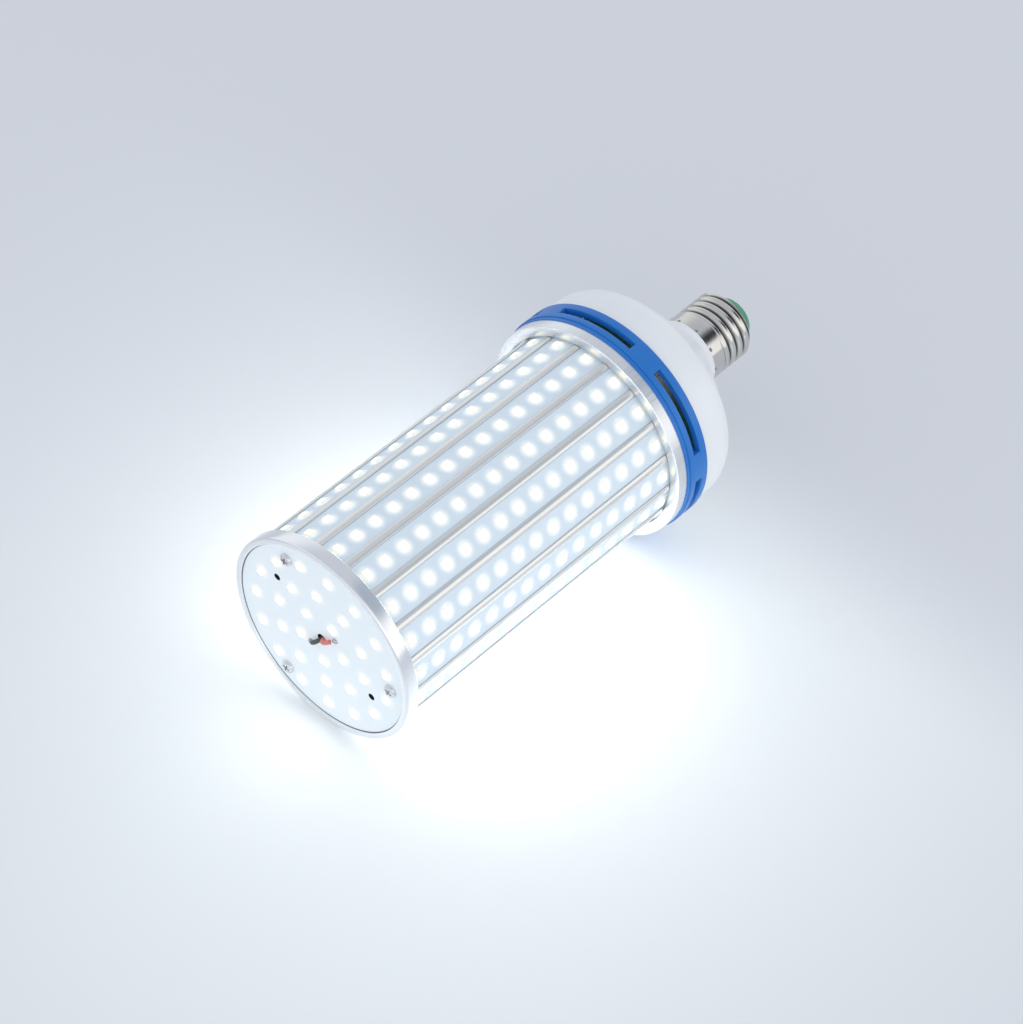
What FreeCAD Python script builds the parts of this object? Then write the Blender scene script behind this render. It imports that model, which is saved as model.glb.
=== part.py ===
import FreeCAD, Part
import math
import os
import Sketcher

# Corn LED bulb with the common medium screw cap.
# The bulb's axis is X: the lit front end looks along -X and the screw cap points along +X.
# The origin is on the axis at the rim of the cap, and one LED strip lies exactly on top, at +Z.
# An angle round the axis starts at +Z and turns right-handed about +X.

doc = FreeCAD.newDocument("corn_bulb")
sheet = doc.addObject("Spreadsheet::Sheet", "dims")

# Driving dimensions, in millimetres and degrees
SIZES = {
    # fits
    "slide_clearance": 0.1,
    "screw_clearance": 0.15,
    # lengths along the axis, from the cap's rim to the front
    "skirt_length": 9.645,
    "vent_ring_length": 10.4,
    "rear_ring_length": 4.2,
    "barrel_show_length": 127.1,
    "front_ring_length": 5.3,
    # heat sink barrel and the strips in its T-slots
    "barrel_radius": 38.7,
    "barrel_wall": 4.7,
    "strip_count": 18,
    "strip_width": 11.0,
    "strip_thickness": 1.2,
    "strip_slot_depth": 2.3,
    "strip_lip": 0.3,
    "screw_channel_radius": 3.2,
    "screw_channel_inset": 2.4,
    "barrel_screw_count": 3,
    "barrel_screw_phase": 90.5,
    # LED packages
    "led_length": 3.5,
    "led_width": 2.8,
    "led_height": 0.8,
    "strip_led_count": 15,
    "strip_led_front_margin": 3.72,
    "strip_led_rear_margin": 2.238,
    "front_led_phase": -113.5,
    "outer_led_inset": 7.1,
    "outer_led_count": 15,
    "middle_led_circle": 20.0,
    "middle_led_count": 10,
    "inner_led_circle": 10.2,
    "inner_led_count": 5,
    # front trim ring and front board
    "front_ring_wall": 1.2,
    "front_ring_rounding": 0.9,
    "front_lip_width": 1.2,
    "front_lip_thickness": 0.85,
    "front_lip_rounding": 0.4,
    "front_board_thickness": 1.6,
    "wire_hole_clearance": 0.25,
    "spare_hole_radius": 1.35,
    "spare_hole_circle": 25.3,
    "spare_hole_phase": -54.0,
    "spare_hole_spread": 170.0,
    # pan-head screws
    "screw_head_radius": 2.5,
    "screw_head_height": 1.4,
    "screw_head_rounding": 0.9,
    "screw_shank_radius": 1.2,
    "screw_length": 8.0,
    # rear trim ring
    "rear_ring_wall": 4.2,
    "rear_ring_rounding": 0.4,
    "rear_ring_chamfer": 0.5,
    "rear_flange_thickness": 2.0,
    "rear_flange_width": 8.0,
    "rear_spigot_length": 1.5,
    "rear_spigot_wall": 2.0,
    # vent ring
    "vent_ring_step": 0.7,
    "vent_ring_wall": 2.5,
    "vent_ring_rounding": 0.5,
    "vent_rim_length": 1.6,
    "vent_rim_step": 0.4,
    "vent_slot_count": 6,
    "vent_slot_setback": 4.1,
    "vent_slot_width": 3.1,
    "vent_slot_angle": 44.0,
    "vent_phase": -8.5,
    # driver housing
    "housing_step": 1.1,
    "housing_wall": 2.0,
    "shoulder_radius": 7.5,
    "flare_radius": 12.0,
    "cone_angle": 50.5,
    "neck_angle": 18.0,
    "neck_step": 0.35,
    "housing_spigot_length": 2.0,
    "housing_spigot_wall": 1.2,
    "housing_ledge_length": 3.0,
    "cap_spigot_wall": 2.0,
    "post_radius": 3.0,
    "post_length": 11.0,
    # screw cap
    "collar_radius": 13.4,
    "collar_length": 6.5,
    "shell_wall": 0.5,
    "thread_step": 1.2,
    "thread_depth": 1.0,
    "thread_foot_width": 2.9,
    "thread_crest_width": 0.9,
    "thread_pitch": 3.63,
    "thread_turns": 3.085,
    "shell_end_rounding": 1.0,
    "shell_lip_width": 0.8,
    "insulator_seat": 1.5,
    "insulator_length": 4.6,
    "insulator_tip_radius": 7.8,
    "contact_ledge": 2.6,
    "contact_edge": 0.8,
    "contact_height": 2.0,
    # mains driver
    "driver_board_setback": 1.4,
    "driver_board_thickness": 1.6,
    "driver_board_clearance": 0.3,
    "core_length": 20.0,
    "core_width": 9.0,
    "core_height": 15.0,
    "winding_length": 13.0,
    "winding_width": 15.0,
    "winding_height": 11.0,
    "transformer_offset": 17.0,
    "input_capacitor_radius": 5.0,
    "input_capacitor_height": 16.0,
    "output_capacitor_radius": 6.5,
    "output_capacitor_height": 15.0,
    "capacitor_rounding": 0.8,
    "capacitor_circle": 20.0,
    "input_capacitor_phase": 120.0,
    "output_capacitor_phase": 180.0,
    "choke_radius": 5.5,
    "choke_neck_radius": 4.0,
    "choke_flange": 1.6,
    "choke_height": 9.0,
    "choke_circle": 19.0,
    "choke_phase": -110.0,
    # leads
    "lead_radius": 0.8,
    "lead_spacing": 0.15,
    "lead_hole_bend": 2.2,
    "lead_drop_bend": 3.0,
    "lead_drop_angle": 30.0,
    "lead_rise": 0.95,
    "lead_end_length": 1.0,
    "red_lead_phase": 58.0,
    "black_lead_phase": -135.0,
    "cap_lead_bend": 2.0,
    "cap_lead_phase": 90.0,
    "solder_radius": 1.2,
    "solder_height": 0.9,
    "solder_gap": 0.15,
}
for row, (alias, value) in enumerate(SIZES.items(), start=1):
    sheet.set(f"A{row}", alias)
    sheet.set(f"B{row}", str(value))
    sheet.setAlias(f"B{row}", alias)
doc.recompute()


class Size:
    """A number together with the sheet expression that drives it."""

    def __init__(self, value, text):
        self.value = float(value)
        self.text = text

    def __add__(self, other):
        other = as_size(other)
        return Size(self.value + other.value, f"({self.text} + {other.text})")

    def __sub__(self, other):
        other = as_size(other)
        return Size(self.value - other.value, f"({self.text} - {other.text})")

    def __mul__(self, other):
        other = as_size(other)
        return Size(self.value * other.value, f"({self.text} * {other.text})")

    def __truediv__(self, other):
        other = as_size(other)
        return Size(self.value / other.value, f"({self.text} / {other.text})")

    def __neg__(self):
        return Size(-self.value, f"(-1 * {self.text})")


class Sheet:
    """The sheet's cells as sizes, named by their aliases."""

    def __getattr__(self, alias):
        return Size(sheet.get(alias), f"dims.{alias}")


def as_size(number):
    return number if isinstance(number, Size) else Size(number, repr(float(number)))


def sine(angle):
    return Size(math.sin(math.radians(angle.value)), f"sin({angle.text} * 1 deg)")


def cosine(angle):
    return Size(math.cos(math.radians(angle.value)), f"cos({angle.text} * 1 deg)")


def new_body(label):
    body = doc.addObject("PartDesign::Body", label)
    body.Label = label
    return body


def turn_about_axis(body, angle):
    """Turn a body about the bulb's axis by an angle from the sheet."""
    body.Placement = FreeCAD.Placement(FreeCAD.Vector(), FreeCAD.Rotation(FreeCAD.Vector(1, 0, 0), 1))
    body.setExpression("Placement.Rotation.Angle", angle.text)


def origin(body, role):
    return next(feature for feature in body.Origin.OriginFeatures if feature.Role == role)


def new_sketch(body, plane, height=None):
    """A sketch on one of the body's origin planes, or at a height above it."""
    sketch = body.newObject("Sketcher::SketchObject", "Sketch")
    sketch.AttachmentSupport = (origin(body, plane), [""])
    sketch.MapMode = "FlatFace"
    if height is not None:
        sketch.setExpression("AttachmentOffset.Base.z", height.text)
    return sketch


def bind(sketch, constraint, size):
    index = sketch.addConstraint(constraint)
    sketch.setExpression(f"Constraints[{index}]", size.text)


def fix_point(sketch, geometry, end, x, y):
    """Hold a point of the sketch at x and y, on an axis where that number is zero."""
    for kind, axis, place in (("DistanceX", -2, x), ("DistanceY", -1, y)):
        if isinstance(place, Size):
            bind(sketch, Sketcher.Constraint(kind, -1, 1, geometry, end, place.value), place)
        else:
            sketch.addConstraint(Sketcher.Constraint("PointOnObject", geometry, end, axis))


def flat(point):
    return FreeCAD.Vector(as_size(point[0]).value, as_size(point[1]).value, 0)


def arc_geometry(first, last, radius, side):
    """An arc from first to last, with its centre on the left (side 1) or the right (side -1)."""
    chord = last - first
    rise = math.sqrt(max(radius ** 2 - (chord.Length / 2) ** 2, 0))
    across = FreeCAD.Vector(-chord.y, chord.x, 0) / chord.Length
    centre = (first + last) / 2 + across * rise * side
    start, stop = (first, last) if side > 0 else (last, first)
    angles = [math.atan2(point.y - centre.y, point.x - centre.x) for point in (start, stop)]
    return Part.ArcOfCircle(Part.Circle(centre, FreeCAD.Vector(0, 0, 1), radius), *angles)


def outline(sketch, points, closed=True):
    """Lines and arcs through points: a point is x, y, and for an arc to it also a radius and a side."""
    pairs = list(zip(points, points[1:] + points[:1])) if closed else list(zip(points, points[1:]))
    ends = []
    for first, last in pairs:
        if len(last) == 2:
            geometry = sketch.addGeometry(Part.LineSegment(flat(first), flat(last)), False)
            ends.append((geometry, 1, 2))
        else:
            radius, side = last[2:]
            shape = arc_geometry(flat(first), flat(last), radius.value, side)
            geometry = sketch.addGeometry(shape, False)
            ends.append((geometry, 1, 2) if side > 0 else (geometry, 2, 1))
    links = zip(ends, ends[1:] + ends[:1]) if closed else zip(ends, ends[1:])
    for one, following in links:
        sketch.addConstraint(Sketcher.Constraint("Coincident", one[0], one[2], following[0], following[1]))
    for (first, last), (geometry, start, stop) in zip(pairs, ends):
        fix_point(sketch, geometry, start, first[0], first[1])
        if len(last) > 2:
            bind(sketch, Sketcher.Constraint("Radius", geometry, last[2].value), last[2])
    if not closed:
        fix_point(sketch, ends[-1][0], ends[-1][2], points[-1][0], points[-1][1])
    return sketch


def circle(sketch, x, y, radius):
    centre = flat((x, y))
    geometry = sketch.addGeometry(Part.Circle(centre, FreeCAD.Vector(0, 0, 1), radius.value), False)
    fix_point(sketch, geometry, 3, x, y)
    bind(sketch, Sketcher.Constraint("Radius", geometry, radius.value), radius)
    return sketch


def rectangle(sketch, left, right, low, high):
    return outline(sketch, [(left, low), (right, low), (right, high), (left, high)])


def on_circle(radius, angle):
    """The place, in the plane across the axis, at an angle on a circle about the axis."""
    return -(radius * sine(angle)), radius * cosine(angle)


def pad(body, sketch, length):
    feature = body.newObject("PartDesign::Pad", "Pad")
    feature.Profile = sketch
    feature.setExpression("Length", length.text)
    return feature


def pocket(body, sketch, length):
    """A cut that runs from the sketch along its normal."""
    feature = body.newObject("PartDesign::Pocket", "Pocket")
    feature.Profile = sketch
    feature.Reversed = True
    feature.setExpression("Length", length.text)
    return feature


def revolve(body, sketch, axis="H_Axis"):
    feature = body.newObject("PartDesign::Revolution", "Revolution")
    feature.Profile = sketch
    feature.ReferenceAxis = (sketch, [axis])
    feature.Angle = 360
    return feature


def revolved_body(label, points):
    """A body turned about the bulb's axis from an outline of stations and radii."""
    body = new_body(label)
    revolve(body, outline(new_sketch(body, "XZ_Plane"), points))
    return body


def polar(body, feature, count, angle=None):
    pattern = body.newObject("PartDesign::PolarPattern", "PolarPattern")
    pattern.Originals = [feature]
    pattern.Axis = (origin(body, "X_Axis"), [""])
    pattern.Angle = 360
    if angle is not None:
        pattern.setExpression("Angle", angle.text)
    pattern.setExpression("Occurrences", count.text)
    body.Tip = pattern
    return pattern


d = Sheet()

# Radii that pieces share, from the barrel outwards and for the cap
barrel_socket = d.barrel_radius + d.slide_clearance
bore_radius = d.barrel_radius - d.barrel_wall
barrel_screw_circle = bore_radius - d.screw_channel_inset
strip_seat = d.barrel_radius - d.strip_slot_depth
strip_face = strip_seat + d.strip_thickness
front_opening = d.barrel_radius - d.front_lip_width
front_ring_radius = barrel_socket + d.front_ring_wall
outer_led_circle = front_opening - d.outer_led_inset
rear_ring_radius = barrel_socket + d.rear_ring_wall
vent_ring_radius = rear_ring_radius + d.vent_ring_step
vent_inner = vent_ring_radius - d.vent_ring_wall
vent_spigot = vent_inner - d.slide_clearance
housing_radius = vent_ring_radius - d.housing_step
ledge_inner = vent_spigot - d.housing_spigot_wall
driver_board_radius = ledge_inner - d.driver_board_clearance
driver_screw_circle = ledge_inner - d.post_radius
neck_radius = d.collar_radius + d.neck_step
collar_inner = d.collar_radius - d.shell_wall
cap_spigot = collar_inner - d.slide_clearance
neck_bore = cap_spigot - d.cap_spigot_wall
thread_root = d.collar_radius - d.thread_step
thread_inner = thread_root - d.shell_wall
shell_lip = thread_root - d.shell_end_rounding - d.shell_lip_width
insulator_radius = shell_lip - d.slide_clearance
contact_radius = d.insulator_tip_radius - d.contact_ledge
lead_offset = d.lead_radius + d.lead_spacing
wire_hole_radius = lead_offset + d.lead_radius + d.wire_hole_clearance
screw_hole = d.screw_shank_radius + d.screw_clearance


def dome(radius, shoulder, flare, neck):
    """Stations of a dome: where the shoulder arc starts and ends, and where the flare arc starts."""
    slope = sine(d.cone_angle) / cosine(d.cone_angle)
    shoulder_low = radius - shoulder * (as_size(1) - cosine(d.cone_angle))
    flare_start = -(flare * (sine(d.cone_angle) - sine(d.neck_angle)))
    flare_high = neck + flare * (cosine(d.neck_angle) - cosine(d.cone_angle))
    shoulder_end = flare_start - (shoulder_low - flare_high) / slope
    shoulder_start = shoulder_end - shoulder * sine(d.cone_angle)
    return shoulder_start, shoulder_end, shoulder_low, flare_start, flare_high


# Stations along the axis
housing_dome = dome(housing_radius, d.shoulder_radius, d.flare_radius, neck_radius)
vent_rear = housing_dome[0] - d.skirt_length
vent_front = vent_rear - d.vent_ring_length
rear_ring_front = vent_front - d.rear_ring_length
front_ring_rear = rear_ring_front - d.barrel_show_length
front_face = front_ring_rear - d.front_ring_length
board_face = front_face + d.front_lip_thickness
barrel_front = board_face + d.front_board_thickness
barrel_rear = vent_front - d.rear_flange_thickness
barrel_length = barrel_rear - barrel_front
driver_board_face = vent_rear + d.driver_board_setback
driver_board_rear = driver_board_face + d.driver_board_thickness
thread_start = d.collar_length
thread_end = thread_start + d.shell_wall + d.thread_foot_width + d.thread_pitch * d.thread_turns
shell_end = thread_end + d.shell_end_rounding
insulator_end = shell_end + d.insulator_length

# Inside the cap, the collar's bore narrows to the thread's over a 45 degree step
collar_end = thread_start - (collar_inner - thread_inner)
cap_spigot_end = collar_end - d.slide_clearance


def drill_screw_holes(body, start, depth, distance, phase, radius):
    """One hole along the axis for each of the three screws, on a circle about it."""
    sketch = new_sketch(body, "YZ_Plane", start)
    circle(sketch, *on_circle(distance, phase), radius)
    polar(body, pocket(body, sketch, depth), d.barrel_screw_count)


def pan_head_screws(label, seat, facing, distance, phase):
    """Three screws on a circle: heads on the seat, shanks running along +X (1) or -X (-1)."""
    body = new_body(label)
    sketch = new_sketch(body, "XZ_Plane")
    top = seat - d.screw_head_height * facing
    crown = seat - (d.screw_head_height - d.screw_head_rounding) * facing
    tip = seat + d.screw_length * facing
    axis_to_head = distance + d.screw_head_radius
    outline(sketch, [
        (top, distance),
        (top, axis_to_head - d.screw_head_rounding),
        (crown, axis_to_head, d.screw_head_rounding, -facing),
        (seat, axis_to_head),
        (seat, distance + d.screw_shank_radius),
        (tip, distance + d.screw_shank_radius),
        (tip, distance),
    ])
    centre_line = sketch.addGeometry(Part.LineSegment(flat((top, distance)), flat((tip, distance))), True)
    sketch.addConstraint(Sketcher.Constraint("Coincident", centre_line, 1, 0, 1))
    sketch.addConstraint(Sketcher.Constraint("Coincident", centre_line, 2, 6, 1))
    polar(body, revolve(body, sketch, "Axis0"), d.barrel_screw_count)
    turn_about_axis(body, phase)


def heat_sink_barrel():
    """Extruded tube: T-slots for the strips outside, channels for the end screws inside."""
    body = new_body("heat_sink_barrel")
    sketch = new_sketch(body, "YZ_Plane", barrel_front)
    circle(sketch, 0, 0, d.barrel_radius)
    circle(sketch, 0, 0, bore_radius)
    pad(body, sketch, barrel_length)
    sketch = new_sketch(body, "YZ_Plane", barrel_front)
    circle(sketch, *on_circle(barrel_screw_circle, d.barrel_screw_phase), d.screw_channel_radius)
    polar(body, pad(body, sketch, barrel_length), d.barrel_screw_count)
    drill_screw_holes(body, barrel_front, barrel_length, barrel_screw_circle, d.barrel_screw_phase,
                      screw_hole)
    half_slot = d.strip_width / 2 + d.slide_clearance
    half_opening = d.strip_width / 2 - d.strip_lip
    cap_under = strip_face + d.slide_clearance
    outside = d.barrel_radius + d.strip_thickness
    sketch = new_sketch(body, "YZ_Plane", barrel_front)
    outline(sketch, [
        (-half_slot, strip_seat),
        (half_slot, strip_seat),
        (half_slot, cap_under),
        (half_opening, cap_under),
        (half_opening, outside),
        (-half_opening, outside),
        (-half_opening, cap_under),
        (-half_slot, cap_under),
    ])
    polar(body, pocket(body, sketch, barrel_length), d.strip_count)


def led_strip(number):
    """One narrow circuit board, slid into its T-slot for the barrel's whole length."""
    body = new_body(f"led_strip_{number + 1:02d}")
    sketch = new_sketch(body, "YZ_Plane", barrel_front)
    half_width = d.strip_width / 2
    rectangle(sketch, -half_width, half_width, strip_seat, strip_face)
    pad(body, sketch, barrel_length)
    turn_about_axis(body, Size(360, "360") * number / d.strip_count)


def strip_leds(number):
    """The row of LED packages on one strip."""
    body = new_body(f"strip_leds_{number + 1:02d}")
    sketch = new_sketch(body, "XY_Plane", strip_face)
    first = front_ring_rear + d.strip_led_front_margin
    last = rear_ring_front - d.strip_led_rear_margin
    half_length = d.led_length / 2
    half_width = d.led_width / 2
    rectangle(sketch, first - half_width, first + half_width, -half_length, half_length)
    package = pad(body, sketch, d.led_height)
    row = body.newObject("PartDesign::LinearPattern", "LinearPattern")
    row.Originals = [package]
    row.Direction = (origin(body, "X_Axis"), [""])
    row.Mode = "Spacing"
    row.setExpression("Offset", ((last - first) / (d.strip_led_count - 1)).text)
    row.setExpression("Occurrences", d.strip_led_count.text)
    body.Tip = row
    turn_about_axis(body, Size(360, "360") * number / d.strip_count)


def front_trim_ring():
    """Turned ring: its lip holds the front board against the barrel's end."""
    front_edge = front_face + d.front_ring_rounding
    lip_edge = front_face + d.front_lip_rounding
    revolved_body("front_trim_ring", [
        (board_face, front_opening),
        (lip_edge, front_opening),
        (front_face, front_opening + d.front_lip_rounding, d.front_lip_rounding, -1),
        (front_face, front_ring_radius - d.front_ring_rounding),
        (front_edge, front_ring_radius, d.front_ring_rounding, -1),
        (front_ring_rear, front_ring_radius),
        (front_ring_rear, barrel_socket),
        (board_face, barrel_socket),
    ])


def front_led_board():
    """Round board behind the lip, drilled for its screws, its leads and two spare holes."""
    body = new_body("front_led_board")
    sketch = new_sketch(body, "YZ_Plane", board_face)
    circle(sketch, 0, 0, d.barrel_radius)
    circle(sketch, 0, 0, wire_hole_radius)
    for angle in (d.spare_hole_phase, d.spare_hole_phase + d.spare_hole_spread):
        circle(sketch, *on_circle(d.spare_hole_circle, angle), d.spare_hole_radius)
    pad(body, sketch, d.front_board_thickness)
    drill_screw_holes(body, board_face, d.front_board_thickness, barrel_screw_circle,
                      d.barrel_screw_phase, screw_hole)


def front_leds():
    """Three rings of LED packages on the front board."""
    body = new_body("front_leds")
    rings = (
        (outer_led_circle, d.outer_led_count),
        (d.middle_led_circle, d.middle_led_count),
        (d.inner_led_circle, d.inner_led_count),
    )
    half_length = d.led_length / 2
    for distance, count in rings:
        sketch = new_sketch(body, "YZ_Plane", board_face - d.led_height)
        low, high = distance - d.led_width / 2, distance + d.led_width / 2
        rectangle(sketch, -half_length, half_length, low, high)
        polar(body, pad(body, sketch, d.led_height), count)
    turn_about_axis(body, d.front_led_phase)


def rear_trim_ring():
    """Ring round the barrel's rear end, with a flange for its screws and a spigot for the vent ring."""
    spigot_end = vent_front + d.rear_spigot_length
    spigot_inner = vent_spigot - d.rear_spigot_wall
    front_edge = rear_ring_front + d.rear_ring_rounding
    flange_opening = bore_radius - d.rear_flange_width
    body = revolved_body("rear_trim_ring", [
        (rear_ring_front + d.rear_ring_chamfer, barrel_socket),
        (rear_ring_front, barrel_socket + d.rear_ring_chamfer),
        (rear_ring_front, rear_ring_radius - d.rear_ring_rounding),
        (front_edge, rear_ring_radius, d.rear_ring_rounding, -1),
        (vent_front, rear_ring_radius),
        (vent_front, vent_spigot),
        (spigot_end, vent_spigot),
        (spigot_end, spigot_inner),
        (vent_front, spigot_inner),
        (vent_front, flange_opening),
        (barrel_rear, flange_opening),
        (barrel_rear, barrel_socket),
    ])
    drill_screw_holes(body, barrel_rear, d.rear_flange_thickness, barrel_screw_circle,
                      d.barrel_screw_phase, screw_hole)


def vent_ring():
    """Moulded ring with long cooling slots through its wall."""
    rim_end = vent_front + d.vent_rim_length
    rear_edge = vent_rear - d.vent_ring_rounding
    body = revolved_body("vent_ring", [
        (vent_front, vent_inner),
        (vent_front, vent_ring_radius - d.vent_rim_step),
        (rim_end, vent_ring_radius - d.vent_rim_step),
        (rim_end, vent_ring_radius),
        (rear_edge, vent_ring_radius),
        (vent_rear, vent_ring_radius - d.vent_ring_rounding, d.vent_ring_rounding, -1),
        (vent_rear, vent_inner),
    ])
    sketch = new_sketch(body, "XZ_Plane")
    slot_front = vent_front + d.vent_slot_setback
    slot_rear = slot_front + d.vent_slot_width
    slot_low = vent_inner - d.vent_ring_wall
    slot_high = vent_ring_radius + d.vent_ring_wall
    rectangle(sketch, slot_front, slot_rear, slot_low, slot_high)
    slot = body.newObject("PartDesign::Groove", "Groove")
    slot.Profile = sketch
    slot.ReferenceAxis = (sketch, ["H_Axis"])
    slot.Midplane = True
    slot.setExpression("Angle", d.vent_slot_angle.text)
    polar(body, slot, d.vent_slot_count)
    turn_about_axis(body, d.vent_phase)


def driver_housing():
    """Moulded dome: a spigot for the vent ring, a flared neck, a spigot for the cap, board posts."""
    radius, shoulder, flare = housing_radius, d.shoulder_radius, d.flare_radius
    start, end, low, flare_start, flare_high = housing_dome
    inner = radius - d.housing_wall
    inner_shoulder = shoulder - d.housing_wall
    inner_flare = flare + d.housing_wall
    in_start, in_end, in_low, in_flare_start, in_flare_high = dome(
        inner, inner_shoulder, inner_flare, neck_bore)
    spigot_front = vent_rear - d.housing_spigot_length
    ledge_end = vent_rear + d.housing_ledge_length
    body = revolved_body("driver_housing", [
        (spigot_front, ledge_inner),
        (spigot_front, vent_spigot),
        (vent_rear, vent_spigot),
        (vent_rear, radius),
        (start, radius),
        (end, low, shoulder, -1),
        (flare_start, flare_high),
        (0, neck_radius, flare, 1),
        (0, cap_spigot),
        (cap_spigot_end, cap_spigot),
        (cap_spigot_end, neck_bore),
        (0, neck_bore),
        (in_flare_start, in_flare_high, inner_flare, -1),
        (in_end, in_low),
        (in_start, inner, inner_shoulder, 1),
        (ledge_end, inner),
        (ledge_end, ledge_inner),
    ])
    sketch = new_sketch(body, "YZ_Plane", driver_board_rear)
    circle(sketch, *on_circle(driver_screw_circle, d.barrel_screw_phase), d.post_radius)
    polar(body, pad(body, sketch, d.post_length), d.barrel_screw_count)
    drill_screw_holes(body, driver_board_rear, d.post_length, driver_screw_circle,
                      d.barrel_screw_phase, screw_hole)


def screw_shell():
    """Drawn shell: a plain collar, then the rolled thread as a true helix."""
    body = revolved_body("screw_shell", [
        (0, collar_inner),
        (0, d.collar_radius),
        (thread_start, d.collar_radius),
        (thread_start + d.shell_wall, thread_root),
        (thread_end, thread_root),
        (shell_end, thread_root - d.shell_end_rounding, d.shell_end_rounding, -1),
        (shell_end, shell_lip),
        (shell_end - d.shell_wall, shell_lip),
        (shell_end - d.shell_wall, thread_inner - d.shell_end_rounding),
        (thread_end - d.shell_wall, thread_inner),
        (thread_start, thread_inner),
        (collar_end, collar_inner),
    ])
    sketch = new_sketch(body, "XZ_Plane")
    foot = thread_root - d.shell_wall / 2
    crest = thread_root + d.thread_depth
    first = thread_start + d.shell_wall + d.thread_foot_width / 2
    half_foot = d.thread_foot_width / 2
    half_crest = d.thread_crest_width / 2
    outline(sketch, [
        (first - half_foot, foot),
        (first - half_crest, crest),
        (first + half_crest, crest),
        (first + half_foot, foot),
    ])
    thread = body.newObject("PartDesign::AdditiveHelix", "Thread")
    thread.Profile = sketch
    thread.ReferenceAxis = (sketch, ["H_Axis"])
    thread.Mode = "pitch-turns-angle"
    thread.setExpression("Pitch", d.thread_pitch.text)
    thread.setExpression("Turns", d.thread_turns.text)


def cap_insulator():
    """Insulating cone in the shell's end, bored for the live lead."""
    bore = d.lead_radius + d.slide_clearance
    seat = shell_end - d.insulator_seat
    flange = thread_inner - d.shell_end_rounding - d.slide_clearance
    lip_rear = shell_end - d.shell_wall
    revolved_body("cap_insulator", [
        (seat, bore),
        (seat, flange),
        (lip_rear, flange),
        (lip_rear, insulator_radius),
        (shell_end, insulator_radius),
        (insulator_end, d.insulator_tip_radius),
        (insulator_end, bore),
    ])


def centre_contact():
    """Domed contact on the insulator's tip."""
    dome_height = d.contact_height - d.contact_edge
    dome_radius = (contact_radius * contact_radius + dome_height * dome_height) / (dome_height * 2)
    revolved_body("centre_contact", [
        (insulator_end, 0),
        (insulator_end, contact_radius),
        (insulator_end + d.contact_edge, contact_radius),
        (insulator_end + d.contact_height, 0, dome_radius, -1),
    ])


def driver_board():
    """Round board of the mains driver, on the housing's posts."""
    body = new_body("driver_board")
    sketch = new_sketch(body, "YZ_Plane", driver_board_face)
    circle(sketch, 0, 0, driver_board_radius)
    pad(body, sketch, d.driver_board_thickness)
    drill_screw_holes(body, driver_board_face, d.driver_board_thickness, driver_screw_circle,
                      d.barrel_screw_phase, screw_hole)


def driver_transformer():
    """Ferrite core with its winding, standing on the driver board."""
    body = new_body("driver_transformer")
    blocks = (
        (d.core_length, d.core_width, d.core_height),
        (d.winding_length, d.winding_width, d.winding_height),
    )
    for length, width, height in blocks:
        sketch = new_sketch(body, "YZ_Plane", driver_board_rear)
        half_length = length / 2
        low, high = d.transformer_offset - width / 2, d.transformer_offset + width / 2
        rectangle(sketch, -half_length, half_length, low, high)
        pad(body, sketch, height)


def round_component(label, distance, angle, profile):
    """A turned component on the driver board, from heights above the board and radii about its own axis."""
    body = new_body(label)
    sketch = new_sketch(body, "XZ_Plane")
    points = [(driver_board_rear + height, distance + radius, *arc) for height, radius, *arc in profile]
    outline(sketch, points)
    foot, top = (points[0][0], distance), (points[-1][0], distance)
    centre_line = sketch.addGeometry(Part.LineSegment(flat(foot), flat(top)), True)
    sketch.addConstraint(Sketcher.Constraint("Coincident", centre_line, 1, 0, 1))
    sketch.addConstraint(Sketcher.Constraint("Coincident", centre_line, 2, len(points) - 1, 1))
    revolve(body, sketch, "Axis0")
    turn_about_axis(body, angle)


def capacitor(label, radius, height, angle):
    """An electrolytic can with a rounded top edge."""
    zero = as_size(0)
    round_component(label, d.capacitor_circle, angle, [
        (zero, zero),
        (zero, radius),
        (height - d.capacitor_rounding, radius),
        (height, radius - d.capacitor_rounding, d.capacitor_rounding, 1),
        (height, zero),
    ])


def filter_choke():
    """A drum choke: two flanges and the winding between them."""
    zero = as_size(0)
    round_component("filter_choke", d.choke_circle, d.choke_phase, [
        (zero, zero),
        (zero, d.choke_radius),
        (d.choke_flange, d.choke_radius),
        (d.choke_flange, d.choke_neck_radius),
        (d.choke_height - d.choke_flange, d.choke_neck_radius),
        (d.choke_height - d.choke_flange, d.choke_radius),
        (d.choke_height, d.choke_radius),
        (d.choke_height, zero),
    ])


def lead_along(body, route, start, offset):
    """A round lead swept along a route that starts at a station, at an offset from the axis."""
    path = outline(new_sketch(body, "XZ_Plane"), route, closed=False)
    profile = circle(new_sketch(body, "YZ_Plane", start), 0, offset, d.lead_radius)
    doc.recompute()
    lead = body.newObject("PartDesign::AdditivePipe", "Lead")
    lead.Profile = profile
    lead.Spine = (path, [f"Edge{index + 1}" for index in range(len(route) - 1)])


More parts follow.
